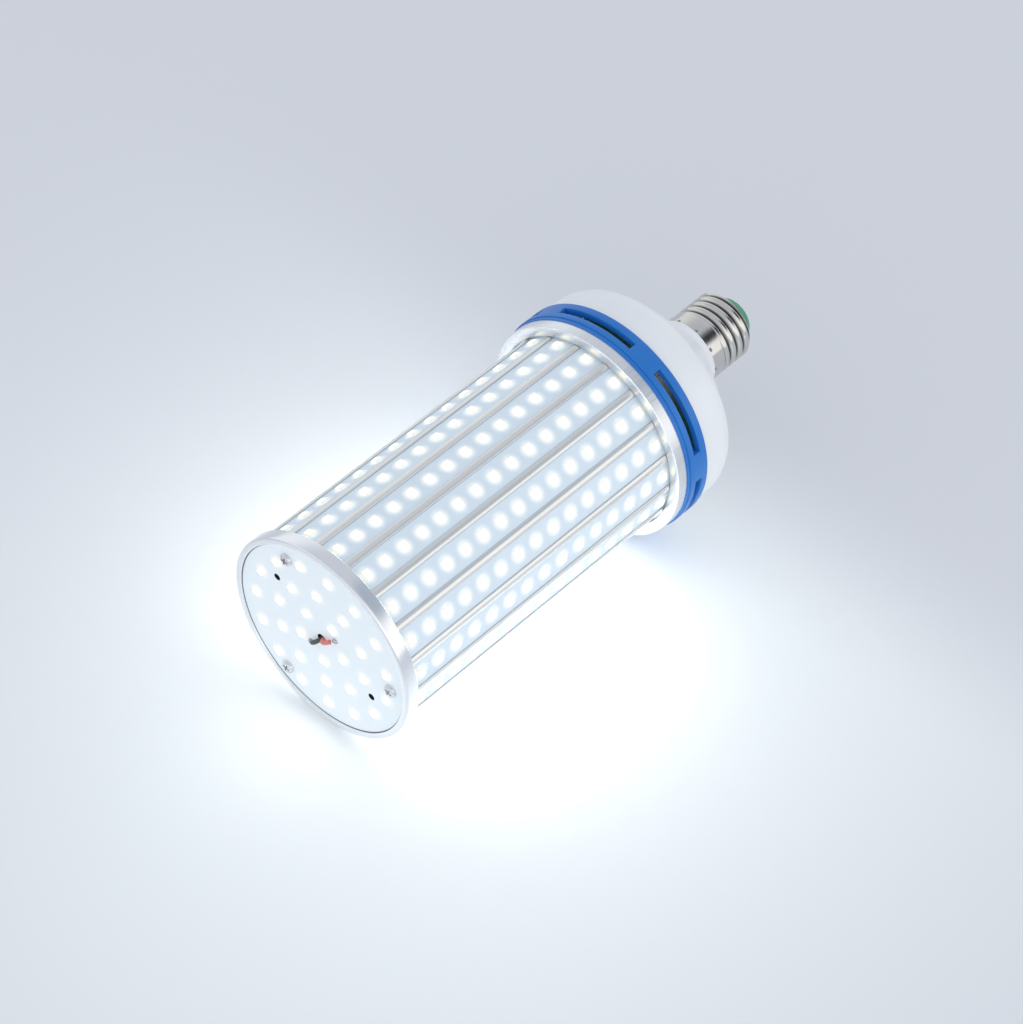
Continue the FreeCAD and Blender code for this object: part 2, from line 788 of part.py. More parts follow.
def front_lead(label, phase):
    """From the driver board through the barrel, out of the front board's hole and down to its pad."""
    body = new_body(label)
    hole_bend, drop_bend = d.lead_hole_bend, d.lead_drop_bend
    crest = board_face - d.lead_radius - d.lead_rise
    bend_start = crest + hole_bend
    bend_end = lead_offset + hole_bend
    drop_station = crest + drop_bend * (as_size(1) - cosine(d.lead_drop_angle))
    drop_distance = bend_end + drop_bend * sine(d.lead_drop_angle)
    end_station = drop_station + d.lead_end_length * sine(d.lead_drop_angle)
    end_distance = drop_distance + d.lead_end_length * cosine(d.lead_drop_angle)
    lead_along(body, [
        (driver_board_face, lead_offset),
        (bend_start, lead_offset),
        (crest, bend_end, hole_bend, -1),
        (drop_station, drop_distance, drop_bend, -1),
        (end_station, end_distance),
    ], driver_board_face, lead_offset)
    turn_about_axis(body, phase)
    return end_distance


def live_lead():
    """Straight along the axis from the driver board to the contact."""
    body = new_body("live_lead")
    sketch = circle(new_sketch(body, "YZ_Plane", driver_board_rear), 0, 0, d.lead_radius)
    pad(body, sketch, insulator_end - driver_board_rear)


def neutral_lead():
    """From the driver board through the neck, then outwards to the inside of the shell."""
    body = new_body("neutral_lead")
    reach = thread_inner - d.slide_clearance
    offset = reach - d.cap_lead_bend
    bend_start = cap_spigot_end + d.lead_radius
    lead_along(body, [
        (driver_board_rear, offset),
        (bend_start, offset),
        (bend_start + d.cap_lead_bend, reach, d.cap_lead_bend, 1),
    ], driver_board_rear, offset)
    turn_about_axis(body, d.cap_lead_phase)


def lead_solder_joints(lead_end):
    """A dome of solder on the front board at the end of each lead."""
    body = new_body("lead_solder_joints")
    sketch = new_sketch(body, "XZ_Plane")
    centre = lead_end + d.lead_radius * sine(d.lead_drop_angle) + d.solder_gap + d.solder_radius
    sphere = (d.solder_radius * d.solder_radius + d.solder_height * d.solder_height) / (d.solder_height * 2)
    outline(sketch, [
        (board_face, centre),
        (board_face - d.solder_height, centre),
        (board_face, centre + d.solder_radius, sphere, -1),
    ])
    polar(body, revolve(body, sketch, "Edge1"), as_size(2), d.black_lead_phase - d.red_lead_phase + 360)
    turn_about_axis(body, d.red_lead_phase)


heat_sink_barrel()
for number in range(int(d.strip_count.value)):
    led_strip(number)
    strip_leds(number)
front_trim_ring()
front_led_board()
front_leds()
pan_head_screws("front_board_screws", board_face, 1, barrel_screw_circle, d.barrel_screw_phase)
rear_trim_ring()
pan_head_screws("rear_ring_screws", vent_front, -1, barrel_screw_circle, d.barrel_screw_phase)
vent_ring()
driver_housing()
screw_shell()
cap_insulator()
centre_contact()
driver_board()
pan_head_screws("driver_board_screws", driver_board_face, 1, driver_screw_circle, d.barrel_screw_phase)
driver_transformer()
capacitor("input_capacitor", d.input_capacitor_radius, d.input_capacitor_height, d.input_capacitor_phase)
capacitor("output_capacitor", d.output_capacitor_radius, d.output_capacitor_height, d.output_capacitor_phase)
filter_choke()
lead_end = front_lead("red_lead", d.red_lead_phase)
front_lead("black_lead", d.black_lead_phase)
lead_solder_joints(lead_end)
live_lead()
neutral_lead()
doc.recompute()

# Every object has to be sound before any file is written
for item in doc.Objects:
    if "Invalid" in item.State or "Error" in item.State:
        raise RuntimeError(f"{item.Label} failed: {item.State}")
bodies = [item for item in doc.Objects if item.TypeId == "PartDesign::Body"]
for body in bodies:
    if body.Shape.isNull() or not body.Shape.isValid() or not body.Shape.Solids:
        raise RuntimeError(f"{body.Label} has no sound solid")
os.makedirs("parts", exist_ok=True)
for body in bodies:
    body.Shape.exportStep(f"parts/{body.Label}.step")
    print(body.Label, len(body.Shape.Solids), round(body.Shape.Volume, 1))
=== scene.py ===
import math

import bmesh
import bpy
from mathutils import Matrix, Vector


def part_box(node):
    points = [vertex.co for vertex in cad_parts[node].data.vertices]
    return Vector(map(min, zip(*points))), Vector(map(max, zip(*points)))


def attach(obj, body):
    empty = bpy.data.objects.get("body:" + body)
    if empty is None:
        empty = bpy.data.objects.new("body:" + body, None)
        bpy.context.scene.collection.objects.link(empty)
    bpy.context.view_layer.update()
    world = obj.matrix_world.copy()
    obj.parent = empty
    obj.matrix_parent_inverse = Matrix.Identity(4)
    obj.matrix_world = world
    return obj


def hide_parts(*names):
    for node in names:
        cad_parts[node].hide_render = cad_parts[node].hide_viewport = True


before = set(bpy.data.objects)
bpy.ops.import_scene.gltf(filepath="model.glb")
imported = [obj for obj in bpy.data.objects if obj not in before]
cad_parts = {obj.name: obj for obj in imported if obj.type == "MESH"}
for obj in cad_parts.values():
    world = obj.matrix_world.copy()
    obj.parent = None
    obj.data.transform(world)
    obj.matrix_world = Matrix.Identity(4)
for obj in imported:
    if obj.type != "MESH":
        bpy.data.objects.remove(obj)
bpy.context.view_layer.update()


# Heat sink barrel
# One aluminium extrusion: a tube with eighteen T-slots outside and three screw channels inside.
# Sawn to length and left as drawn, it has softly broken rib edges and draw lines on its faces.
class Wire:
    """An output socket; arithmetic on it adds Math nodes."""

    def __init__(self, shading, socket):
        self.shading = shading
        self.socket = socket

    def math(self, operation, *others):
        inputs = dict(enumerate((self, *others)))
        return self.shading.node("ShaderNodeMath", {"operation": operation}, inputs)

    def __add__(self, other):
        return self.math("ADD", other)

    def __sub__(self, other):
        return self.math("SUBTRACT", other)

    def __rsub__(self, other):
        return self.shading.node("ShaderNodeMath", {"operation": "SUBTRACT"}, {0: other, 1: self})

    def __mul__(self, other):
        return self.math("MULTIPLY", other)

    def __truediv__(self, other):
        return self.math("DIVIDE", other)

    __radd__ = __add__
    __rmul__ = __mul__


class Shading:
    """The nodes of one material or of the world, and the shader at their end."""

    def __init__(self, tree, shader):
        self.tree = tree
        self.shader = tree.nodes[shader]

    def node(self, kind, settings=None, inputs=None, output=0):
        """Any node: its settings first, then the values or links of its sockets."""
        made = self.tree.nodes.new(kind)
        for name, value in (settings or {}).items():
            setattr(made, name, value)
        self.feed(made, inputs or {})
        return Wire(self, made.outputs[output])

    def feed(self, made, inputs):
        for name, value in inputs.items():
            if isinstance(value, Wire):
                self.tree.links.new(value.socket, made.inputs[name])
            else:
                made.inputs[name].default_value = value

    def set(self, **inputs):
        """Values or links of the shader's own sockets, with _ for a space in their names."""
        self.feed(self.shader, {name.replace("_", " "): value for name, value in inputs.items()})

    def place(self, kind="Object"):
        """The point on the piece as x, y and z."""
        point = self.node("ShaderNodeTexCoord", output=kind)
        split = self.tree.nodes.new("ShaderNodeSeparateXYZ")
        self.tree.links.new(point.socket, split.inputs[0])
        return [Wire(self, socket) for socket in split.outputs]

    def vector(self, x, y, z):
        return self.node("ShaderNodeCombineXYZ", None, {0: x, 1: y, 2: z})

    def noise(self, vector, scale, detail=3.0, roughness=0.55):
        return self.node("ShaderNodeTexNoise", None, {
            "Vector": vector, "Scale": scale, "Detail": detail, "Roughness": roughness})

    def fade(self, value, start, end, low=0.0, high=1.0):
        """A smooth step from low at start to high at end."""
        settings = {"interpolation_type": "SMOOTHSTEP"}
        return self.node("ShaderNodeMapRange", settings, {0: value, 1: start, 2: end, 3: low, 4: high})

    def blend(self, factor, first, second):
        """A mix of two colours."""
        settings = {"data_type": "RGBA"}
        return self.node("ShaderNodeMix", settings, {0: factor, 6: first, 7: second}, output=2)

    def bump(self, height, distance, strength=1.0):
        return self.node("ShaderNodeBump", None, {
            "Height": height, "Distance": distance, "Strength": strength})


def finish(name):
    """A new material with its Principled shader."""
    material = bpy.data.materials.new(name)
    material.use_nodes = True
    shading = Shading(material.node_tree, "Principled BSDF")
    shading.material = material
    return shading


def rgb(red, green, blue):
    """A colour as it is seen on a screen, 0 to 255, as the shader's linear one."""
    parts = []
    for part in (red, green, blue):
        share = part / 255
        parts.append(share / 12.92 if share < 0.04045 else ((share + 0.055) / 1.055) ** 2.4)
    return (*parts, 1.0)


def add_piece(name, mesh, finishes, replaced, smooth=35):
    """The finished mesh as a piece on the bulb, in place of a plain CAD node."""
    data = bpy.data.meshes.new(name)
    mesh.to_mesh(data)
    mesh.free()
    for item in finishes:
        data.materials.append(item.material)
    data.shade_smooth()
    data.set_sharp_from_angle(angle=math.radians(smooth))
    piece = bpy.data.objects.new(name, data)
    bpy.context.scene.collection.objects.link(piece)
    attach(piece, "root")
    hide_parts(replaced)


mm = 0.001
barrel_metal = finish("drawn_aluminium")
x, y, z = barrel_metal.place()
draw_lines = barrel_metal.noise(barrel_metal.vector(x * 6, y * 900, z * 900), 1.0, 2.0)
stain = barrel_metal.noise(barrel_metal.vector(x * 30, y * 120, z * 120), 1.0, 3.0)
barrel_metal.set(
    Base_Color=barrel_metal.blend(stain, rgb(229, 230, 227), rgb(245, 245, 241)),
    Metallic=1.0,
    Roughness=barrel_metal.fade(draw_lines, 0.2, 0.8, 0.28, 0.38),
    Normal=barrel_metal.bump(draw_lines, 0.06 * mm, 0.5),
)


def merged(node):
    """A copy of a CAD node's mesh with its triangles joined, so that it can be smoothed and bevelled."""
    mesh = bmesh.new()
    mesh.from_mesh(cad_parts[node].data)
    bmesh.ops.remove_doubles(mesh, verts=mesh.verts, dist=1e-6)
    return mesh


rib_slope = 1.0 * mm
rib_crown = 0.28 * mm
rib_edge_break = 0.3 * mm
rib_face_band = 0.1 * mm
rib_corner_band = 0.6 * mm
barrel = merged("heat_sink_barrel")
bmesh.ops.dissolve_limit(barrel, angle_limit=math.radians(0.5), verts=barrel.verts, edges=barrel.edges)
barrel_low, barrel_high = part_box("heat_sink_barrel")
rib_top = barrel_high.y
rib_faces = [face for face in barrel.faces
             if face.calc_center_median().yz.length > rib_top - rib_face_band
             and abs(face.normal.x) < 0.1]
bmesh.ops.inset_region(barrel, faces=rib_faces, thickness=rib_slope, depth=0,
                       use_boundary=True, use_even_offset=True)
corners = [edge for edge in barrel.edges
           if edge.calc_length() > 0.5 * (barrel_high.x - barrel_low.x)
           and edge.verts[0].co.yz.length > rib_top - rib_corner_band
           and edge.is_manifold and edge.calc_face_angle() > math.radians(45)]
for vert in {vert for edge in corners for vert in edge.verts}:
    vert.co.yz = vert.co.yz.normalized() * (vert.co.yz.length - rib_crown)
bmesh.ops.bevel(barrel, geom=corners, offset=rib_edge_break, affect="EDGES", segments=4,
                profile=0.5, material=-1, clamp_overlap=True)
add_piece("heat_sink_barrel_drawn", barrel, [barrel_metal], "heat_sink_barrel")


# LED strips
# Narrow aluminium circuit boards under a white solder mask, slid into the T-slots under the rib edges.
# Each carries one row of LEDs, whose light is painted into the mask as a glow, brighter in a soft halo
# round each LED.
strip_count = 18
led_count = 15
led_low, led_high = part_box("strip_leds_01")
strip_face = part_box("led_strip_01")[1].z
led_height = led_high.z - strip_face
led_width = 2.8 * mm
led_length = led_high.y - led_low.y
led_pitch = (led_high.x - led_low.x - led_width) / (led_count - 1)
first_led = led_low.x + led_width / 2
strip_step = 2 * math.pi / strip_count
halo_reach = 4.2 * mm
halo_core = 1.0 * mm
shade_start = 4.7 * mm
shade_end = 5.15 * mm


def dress(node, shading):
    """Give a CAD node its finish."""
    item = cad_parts[node]
    item.data.materials.clear()
    item.data.materials.append(shading.material)


strip_mask = finish("strip_solder_mask")
x, y, z = strip_mask.place()
angle = (y * -1).math("ARCTAN2", z)
across = angle.math("WRAP", strip_step / 2, -strip_step / 2) * strip_face
along = (x - first_led).math("WRAP", led_pitch / 2, -led_pitch / 2)
reach = (along * along + across * across).math("SQRT")
halo = strip_mask.fade(reach, halo_reach, halo_core)
# Painted shade: a thin dark line along both edges of the mask, beside the ribs, where its glow is dimmed
# too.
edge = strip_mask.fade(across.math("ABSOLUTE"), shade_start, shade_end, 0.0, 0.4)
cloud = strip_mask.noise(strip_mask.vector(x * 150, y * 150, z * 150), 1.0, 2.0)
mask = strip_mask.blend(cloud, rgb(206, 219, 229), rgb(216, 228, 236))
# Painted light: the whole mask glows, pale between the LEDs and warm white in a halo round each one.
glow = strip_mask.blend(halo, rgb(91, 99, 107), rgb(182, 174, 150))
strip_mask.set(
    Base_Color=strip_mask.blend(edge, mask, rgb(92, 100, 108)),
    Roughness=0.35,
    Emission_Color=strip_mask.blend(edge, glow, rgb(20, 24, 28)),
    Emission_Strength=1.0,
)
for number in range(strip_count):
    dress(f"led_strip_{number + 1:02d}", strip_mask)


# LEDs on the strips
# White moulded packages with a sunk window of yellow-white phosphor, soldered to the strips.
# They are lit, so the window is brighter than white and its frame glows with it.
package_white = finish("led_package_white")
across, along, _ = package_white.place("UV")
reach = (along * along + across * across).math("SQRT")
package_white.set(
    Base_Color=rgb(216, 226, 232),
    Roughness=0.4,
    Emission_Color=package_white.blend(
        package_white.fade(reach, halo_reach / mm, halo_core / mm),
        rgb(93, 101, 108), rgb(182, 174, 150)),
    Emission_Strength=1.0,
)
phosphor = finish("lit_phosphor")
phosphor.set(
    Base_Color=rgb(255, 246, 215),
    Roughness=0.5,
    Emission_Color=rgb(255, 251, 230),
    Emission_Strength=0.65,
)

window_frame = 0.42 * mm
well_slope = 0.12 * mm
well_depth = 0.12 * mm
block = bmesh.new()
block_place = Matrix.Translation((0, 0, led_height / 2))
block_size = Matrix.Diagonal((led_width, led_length, led_height, 1.0))
bmesh.ops.create_cube(block, size=1.0, matrix=block_place @ block_size)
block.normal_update()
window = max(block.faces, key=lambda face: face.normal.z)
bmesh.ops.inset_region(block, faces=[window], thickness=window_frame, depth=0)
well = bmesh.ops.inset_region(block, faces=[window], thickness=well_slope, depth=-well_depth)
for face in (window, *well["faces"]):
    face.material_index = 1
flat = block.loops.layers.uv.new("package_mm")
for face in block.faces:
    for loop in face.loops:
        loop[flat].uv = loop.vert.co.xy / mm
package = bpy.data.meshes.new("led_package")
block.to_mesh(package)
block.free()


def stamp(mesh, item, place):
    """Add a copy of a finished shape to a mesh, put in its place."""
    single = item.copy()
    single.transform(place)
    mesh.from_mesh(single)
    bpy.data.meshes.remove(single)


for number in range(strip_count):
    row = bmesh.new()
    turn = Matrix.Rotation(number * strip_step, 4, "X")
    for index in range(led_count):
        stamp(row, package, turn @ Matrix.Translation((first_led + index * led_pitch, 0, strip_face)))
    add_piece(f"strip_leds_{number + 1:02d}_lit", row, [package_white, phosphor],
              f"strip_leds_{number + 1:02d}")


# Front LED board
# A round aluminium board under pale solder mask, held in the front ring by its lip and three screws.
# Three rings of LEDs light it; their light is painted into the mask as an even pale glow, brighter in a
# halo round each LED.
front_rings = ((30.4 * mm, 15), (20.0 * mm, 10), (10.2 * mm, 5))
front_phase = math.radians(-113.5)
board_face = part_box("front_led_board")[0].x
board_halo_reach = 4.0 * mm
board_halo_core = 1.0 * mm
gap_shade_start = 37.0 * mm
gap_shade_end = 37.4 * mm
unlit = rgb(0, 0, 0)

board_mask = finish("front_solder_mask")
x, y, z = board_mask.place()
angle = (y * -1).math("ARCTAN2", z) - front_phase
radius = (y * y + z * z).math("SQRT")
nearest = None
for circle_radius, circle_count in front_rings:
    circle_step = 2 * math.pi / circle_count
    around = angle.math("WRAP", circle_step / 2, -circle_step / 2) * radius
    outward = radius - circle_radius
    reach = (around * around + outward * outward).math("SQRT")
    nearest = reach if nearest is None else nearest.math("MINIMUM", reach)
# Painted light: the front face of the mask glows, warmer in a halo round each LED.
halo = board_mask.fade(nearest, board_halo_reach, board_halo_core)
# Painted shade: a thin dark ring at the board's edge, in the gap under the ring's lip; off the front
# face, in the holes and on the sides, the mask is painted dark grey and does not glow.
painted_gap_shade = board_mask.fade(radius, gap_shade_start, gap_shade_end)
lit = board_mask.fade(x, board_face + 0.1 * mm, board_face) * (1 - painted_gap_shade)
cloud = board_mask.noise(board_mask.vector(x * 90, y * 90, z * 90), 1.0, 2.0)
board_mask.set(
    Base_Color=board_mask.blend(
        lit, rgb(48, 52, 54), board_mask.blend(cloud, rgb(206, 217, 229), rgb(216, 226, 235))),
    Roughness=0.32,
    Emission_Color=board_mask.blend(
        lit, unlit, board_mask.blend(halo, rgb(125, 127, 121), rgb(164, 149, 128))),
    Emission_Strength=1.0,
)
dress("front_led_board", board_mask)

front = bmesh.new()
facing = Matrix.Rotation(math.radians(-90), 4, "Y")
for circle_radius, circle_count in front_rings:
    for index in range(circle_count):
        turn = Matrix.Rotation(front_phase + index * 2 * math.pi / circle_count, 4, "X")
        stamp(front, package, turn @ Matrix.Translation((board_face, 0, circle_radius)) @ facing)
add_piece("front_leds_lit", front, [package_white, phosphor], "front_leds")


# Front board screws
# Three nickel-plated pan-head screws with a cross recess, through the board into the barrel's channels.
# Each head is a low dome whose rim is rounded over.
screw_metal = finish("plated_steel")
x, y, z = screw_metal.place()
grain = screw_metal.noise(screw_metal.vector(x * 800, y * 800, z * 800), 1.0, 2.0)
screw_metal.set(
    Base_Color=screw_metal.blend(grain, rgb(212, 214, 217), rgb(232, 233, 236)),
    Metallic=1.0,
    Roughness=screw_metal.fade(grain, 0.3, 0.7, 0.2, 0.32),
)
dress("rear_ring_screws", screw_metal)
dress("driver_board_screws", screw_metal)
head_radius = 2.5 * mm
head_height = 1.4 * mm
head_rounding = 1.0 * mm
screw_count = 3
screw_circle = 31.6 * mm
screw_phase = math.radians(90.5)
recess_depth = 0.9 * mm
recess_width = 0.62 * mm
recess_length = 2.9 * mm
first_slant = 25
slant_step = 50


def bare_object(name, mesh):
    """A mesh as an object of its own, for a cut."""
    data = bpy.data.meshes.new(name)
    mesh.to_mesh(data)
    mesh.free()
    item = bpy.data.objects.new(name, data)
    bpy.context.scene.collection.objects.link(item)
    return item


head = bmesh.new()
crown = [head.verts.new(point) for point in (
    (-head_height, 0, 0), (-head_height, 0, head_radius), (0, 0, head_radius), (0, 0, 0))]
edges = [head.edges.new(pair) for pair in zip(crown, crown[1:])]
bmesh.ops.spin(head, geom=crown + edges, cent=(0, 0, 0), axis=(1, 0, 0), angle=2 * math.pi,
               steps=32, use_merge=True)
bmesh.ops.remove_doubles(head, verts=head.verts, dist=1e-7)
bmesh.ops.recalc_face_normals(head, faces=head.faces)
rim = [edge for edge in head.edges if all(
    v.co.x < -0.9 * head_height and v.co.yz.length > 0.9 * head_radius for v in edge.verts)]
bmesh.ops.bevel(head, geom=rim, offset=head_rounding, affect="EDGES", segments=6, profile=0.5,
                material=-1, clamp_overlap=True)
cutter = bmesh.new()
blade = Matrix.Diagonal((2 * recess_depth, recess_width, recess_length, 1.0))
head_top = Matrix.Translation((-head_height, 0, 0))
for turn in (0, 90):
    around = Matrix.Rotation(math.radians(turn), 4, "X")
    bmesh.ops.create_cube(cutter, size=1.0, matrix=head_top @ around @ blade)
head_object = bare_object("screw_head", head)
cutter_object = bare_object("screw_recess", cutter)
recess = head_object.modifiers.new("recess", "BOOLEAN")
recess.operation = "DIFFERENCE"
recess.solver = "EXACT"
recess.use_self = True
recess.object = cutter_object
cut_head = bpy.data.meshes.new_from_object(
    head_object.evaluated_get(bpy.context.evaluated_depsgraph_get()))
bpy.data.objects.remove(head_object)
bpy.data.objects.remove(cutter_object)

screws = bmesh.new()
for index in range(screw_count):
    around = Matrix.Rotation(screw_phase + index * 2 * math.pi / screw_count, 4, "X")
    slant = Matrix.Rotation(math.radians(first_slant + slant_step * index), 4, "X")
    stamp(screws, cut_head, around @ Matrix.Translation((board_face, 0, screw_circle)) @ slant)
bpy.data.meshes.remove(cut_head)
add_piece("front_board_screws_cross", screws, [screw_metal], "front_board_screws")


# Feed leads and their solder
# A red and a black wire come from the driver through the barrel and out of the board's middle hole.
# Their stripped ends are soldered to pads on the board.
red_sleeve = finish("red_wire_sleeve")
red_sleeve.set(Base_Color=rgb(228, 132, 126), Roughness=0.45)
black_sleeve = finish("black_wire_sleeve")
black_sleeve.set(Base_Color=rgb(86, 90, 92), Roughness=0.45)
solder = finish("solder")
solder.set(Base_Color=rgb(190, 192, 198), Metallic=1.0, Roughness=0.25)
for node, shading, slot in (
        ("red_lead", red_sleeve, "red_insulation"),
        ("live_lead", red_sleeve, "red_insulation"),
        ("black_lead", black_sleeve, "black_insulation"),
        ("neutral_lead", black_sleeve, "black_insulation"),
        ("lead_solder_joints", solder, "solder")):
    add_piece(f"{node}_smooth", merged(node), [shading], node, smooth=40)


# Front trim ring
# A turned and polished aluminium ring round the front: its lip holds the board, its skirt the barrel.
# Both edges of its front are rounded over.
def turned(outline, steps=192):
    """A closed outline of stations and radii, turned about the bulb's axis."""
    mesh = bmesh.new()
    verts = [mesh.verts.new((station, 0, radius)) for station, radius in outline]
    edges = [mesh.edges.new(pair) for pair in zip(verts, verts[1:] + verts[:1])]
    bmesh.ops.spin(mesh, geom=verts + edges, cent=(0, 0, 0), axis=(1, 0, 0),
                   angle=2 * math.pi, steps=steps, use_merge=True)
    bmesh.ops.remove_doubles(mesh, verts=mesh.verts, dist=1e-7)
    bmesh.ops.recalc_face_normals(mesh, faces=mesh.faces)
    return mesh


def round_over(mesh, station, radius, width, segments=4):
    """Round the ring-shaped edge of a turned mesh at a station and a radius."""
    def on_edge(vert):
        return abs(vert.co.x - station) < 1e-6 and abs(vert.co.yz.length - radius) < 1e-6
    ring = [edge for edge in mesh.edges if all(on_edge(vert) for vert in edge.verts)]
    bmesh.ops.bevel(mesh, geom=ring, offset=width, affect="EDGES", segments=segments, profile=0.5,
                    material=-1, clamp_overlap=True)


polished = finish("polished_aluminium")
x, y, z = polished.place()
tool_lines = polished.noise(polished.vector(x * 4000, y * 20, z * 20), 1.0, 2.0)
polished.set(
    Base_Color=rgb(240, 242, 245),
    Metallic=1.0,
    Roughness=polished.fade(tool_lines, 0.2, 0.8, 0.14, 0.24),
    Normal=polished.bump(tool_lines, 0.02 * mm, 0.4),
)
ring_low, ring_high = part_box("front_trim_ring")
ring_radius = ring_high.y
opening = 37.5 * mm
socket = 38.8 * mm
lip_rounding = 0.4 * mm
front_rounding = 0.9 * mm
skirt_rounding = 0.25 * mm
front_ring = turned([
    (board_face, opening),
    (ring_low.x, opening),
    (ring_low.x, ring_radius),
    (ring_high.x, ring_radius),
    (ring_high.x, socket),
    (board_face, socket),
])
round_over(front_ring, ring_low.x, opening, lip_rounding)
round_over(front_ring, ring_low.x, ring_radius, front_rounding, 6)
round_over(front_ring, ring_high.x, ring_radius, skirt_rounding)
add_piece("front_trim_ring_polished", front_ring, [polished], "front_trim_ring")


# Rear trim ring
# A turned aluminium ring round the barrel's rear end, brushed along the bulb, screwed to the barrel.
# Its front face shows as a bright step round the ends of the strips.
brushed = finish("brushed_aluminium")
x, y, z = brushed.place()
brush_lines = brushed.noise(brushed.vector(x * 25, y * 1500, z * 1500), 1.0, 2.0)
brushed.set(
    Base_Color=brushed.blend(brush_lines, rgb(222, 225, 228), rgb(244, 246, 248)),
    Metallic=1.0,
    Roughness=brushed.fade(brush_lines, 0.2, 0.8, 0.26, 0.4),
    Normal=brushed.bump(brush_lines, 0.04 * mm, 0.5),
)
rear_low, rear_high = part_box("rear_trim_ring")
rear_radius = rear_high.y
vent_low, vent_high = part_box("vent_ring")
flange_opening = 26.0 * mm
spigot = 41.1 * mm
spigot_wall = 2.0 * mm
rear_rounding = 0.4 * mm
socket_chamfer = 0.5 * mm
rear_ring = turned([
    (rear_low.x, socket),
    (rear_low.x, rear_radius),
    (vent_low.x, rear_radius),
    (vent_low.x, spigot),
    (rear_high.x, spigot),
    (rear_high.x, spigot - spigot_wall),
    (vent_low.x, spigot - spigot_wall),
    (vent_low.x, flange_opening),
    (barrel_high.x, flange_opening),
    (barrel_high.x, socket),
])
round_over(rear_ring, rear_low.x, rear_radius, rear_rounding)
round_over(rear_ring, rear_low.x, socket, socket_chamfer, 2)
add_piece("rear_trim_ring_brushed", rear_ring, [brushed], "rear_trim_ring")


# Vent ring
# A blue moulded ring between the rear ring and the housing, with six long slots for cooling air.
# A narrow rim steps down in front, and the slots' outer edges, the rear edge and the step have the soft
# break of a mould.
vent_plastic = finish("blue_moulded_plastic")
x, y, z = vent_plastic.place()
pebble = vent_plastic.noise(vent_plastic.vector(x * 1600, y * 1600, z * 1600), 1.0, 2.0)
drift = vent_plastic.noise(vent_plastic.vector(x * 60, y * 60, z * 60), 1.0, 2.0)
vent_plastic.set(
    Base_Color=vent_plastic.blend(drift, rgb(24, 112, 200), rgb(36, 126, 210)),
    Roughness=0.36,
    Normal=vent_plastic.bump(pebble, 0.03 * mm, 0.35),
)
vent_radius = vent_high.y
vent_wall = 2.5 * mm
vent_inner = vent_radius - vent_wall
rim_length = 1.6 * mm
rim_step = 0.4 * mm
slot_setback = 4.1 * mm
slot_width = 3.1 * mm
slot_break = 0.25 * mm
vent_rounding = 0.5 * mm
rim_break = 0.2 * mm
rim_end = vent_low.x + rim_length
rim_radius = vent_radius - rim_step
slot_front = vent_low.x + slot_setback
slot_rear = slot_front + slot_width
slot_count = 6
slot_steps = 22
bridge_steps = 8
slot_centre = math.radians(-8.5)
period_steps = slot_steps + bridge_steps
ring_steps = slot_count * period_steps
vent = turned([
    (vent_low.x, vent_inner),
    (vent_low.x, rim_radius),
    (rim_end, rim_radius),
    (rim_end, vent_radius),
    (slot_front, vent_radius),
    (slot_rear, vent_radius),
    (vent_high.x, vent_radius),
    (vent_high.x, vent_inner),
    (slot_rear, vent_inner),
    (slot_front, vent_inner),
], ring_steps)
step_angle = 2 * math.pi / ring_steps
walls = {}
for face in vent.faces:
    middle = face.calc_center_median()
    if slot_front < middle.x < slot_rear:
        step = int(math.atan2(-middle.y, middle.z) / step_angle % ring_steps)
        if step % period_steps < slot_steps:
            walls.setdefault(step // period_steps, []).append(face)
slots = []
for faces in walls.values():
    rim = {edge for face in faces for edge in face.edges
           if sum(neighbour in faces for neighbour in edge.link_faces) == 1}
    slots.append(list(rim))
bmesh.ops.delete(vent, geom=[face for faces in walls.values() for face in faces], context="FACES")
outer_rims = []
for rim in slots:
    bmesh.ops.bridge_loops(vent, edges=rim)
    outer_rims += [edge for edge in rim
                   if min(vert.co.yz.length for vert in edge.verts) > vent_radius - 1e-5]
bmesh.ops.recalc_face_normals(vent, faces=vent.faces)
bmesh.ops.bevel(vent, geom=outer_rims, offset=slot_break, affect="EDGES", segments=2, profile=0.5,
                material=-1, clamp_overlap=True)
round_over(vent, vent_high.x, vent_radius, vent_rounding)
round_over(vent, rim_end, vent_radius, rim_break, 2)
slot_turn = Matrix.Rotation(slot_centre - slot_steps * step_angle / 2, 3, "X")
bmesh.ops.rotate(vent, verts=vent.verts, cent=(0, 0, 0), matrix=slot_turn)
add_piece("vent_ring_moulded", vent, [vent_plastic], "vent_ring")


# Mains driver
# A round circuit board on the housing's posts, with a transformer, capacitors and a choke behind it.
# Only its front shows, dimly, through the vent slots.
board_green = finish("driver_board_green")
board_green.set(Base_Color=rgb(40, 92, 62), Roughness=0.4)
ferrite = finish("ferrite")
ferrite.set(Base_Color=rgb(62, 62, 66), Roughness=0.6)
can_sleeve = finish("capacitor_sleeve")
can_sleeve.set(Base_Color=rgb(44, 46, 52), Roughness=0.35)
dress("driver_board", board_green)
dress("driver_transformer", ferrite)
dress("filter_choke", ferrite)
dress("input_capacitor", can_sleeve)
dress("output_capacitor", can_sleeve)


